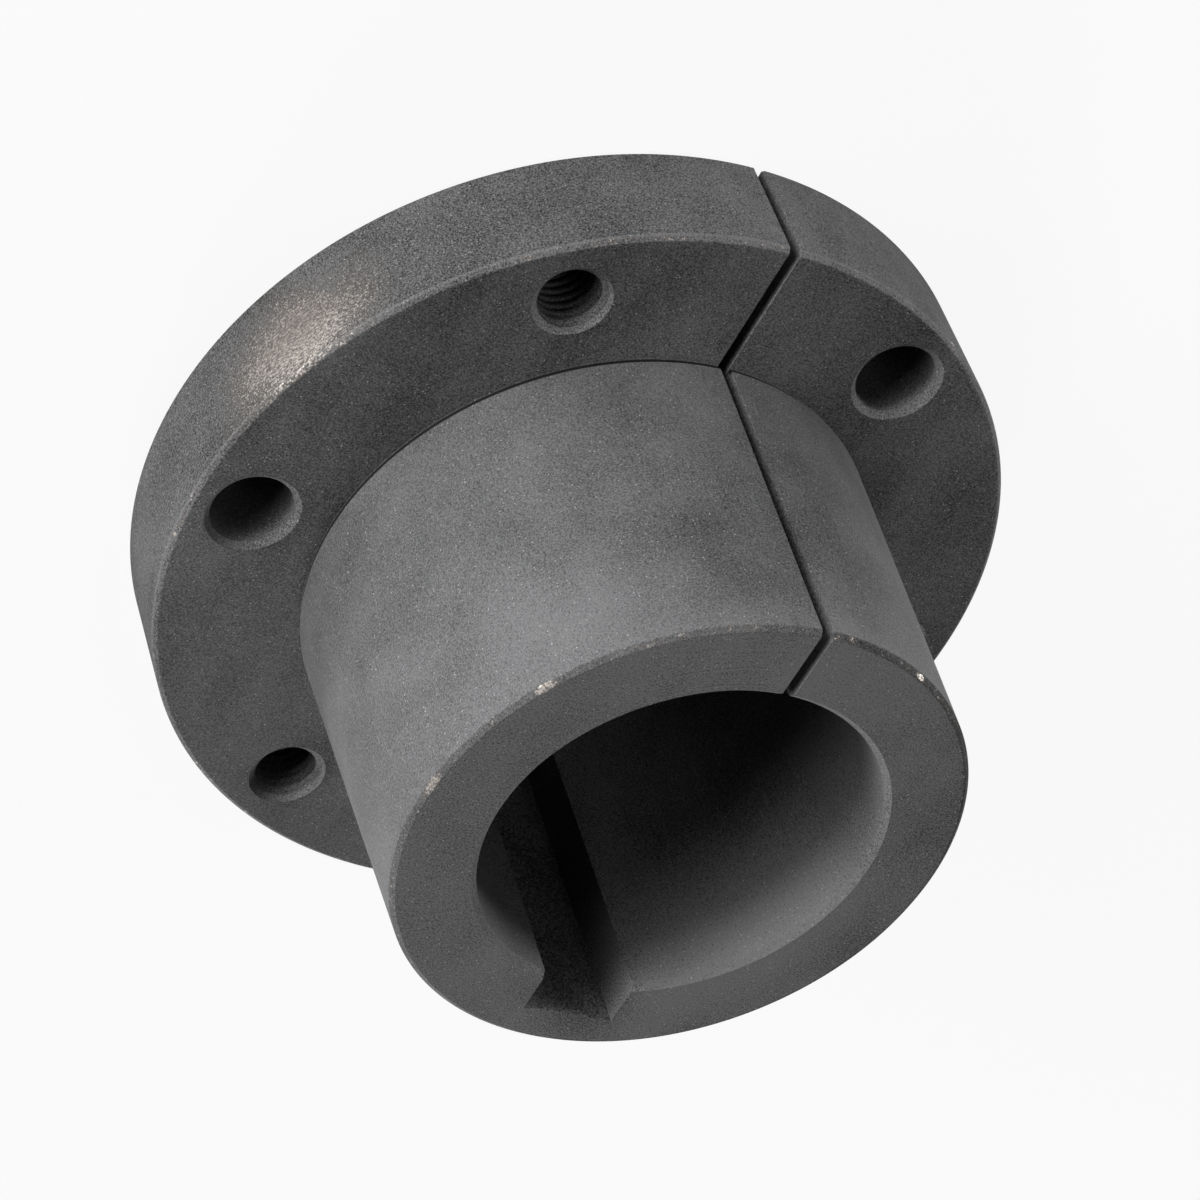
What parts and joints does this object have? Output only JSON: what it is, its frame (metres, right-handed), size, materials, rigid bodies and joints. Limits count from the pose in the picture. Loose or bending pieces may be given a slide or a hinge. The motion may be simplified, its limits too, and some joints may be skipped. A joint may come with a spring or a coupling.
{
  "type": "quick disconnect bushing",
  "caption": "Split tapered bushing with a round screw flange: clamps a sheave, sprocket or gear hub onto a keyed shaft.",
  "frame": {"origin": "centre of the flange's outer face, on the axis of the bore", "axes": "+Z along the bore from the flange to the nose of the hub, +Y towards the keyway, -Y towards the slit"},
  "size_m": [0.1683, 0.1682, 0.0953],
  "materials": {
    "phosphated_steel": "matte, dark grey phosphate over turned metal",
    "black_oxide_steel": "black oxide, low sheen"
  },
  "bodies": {
    "root": {"bushing": "phosphated_steel", "key_screw": "black_oxide_steel"}
  },
  "joints": []
}
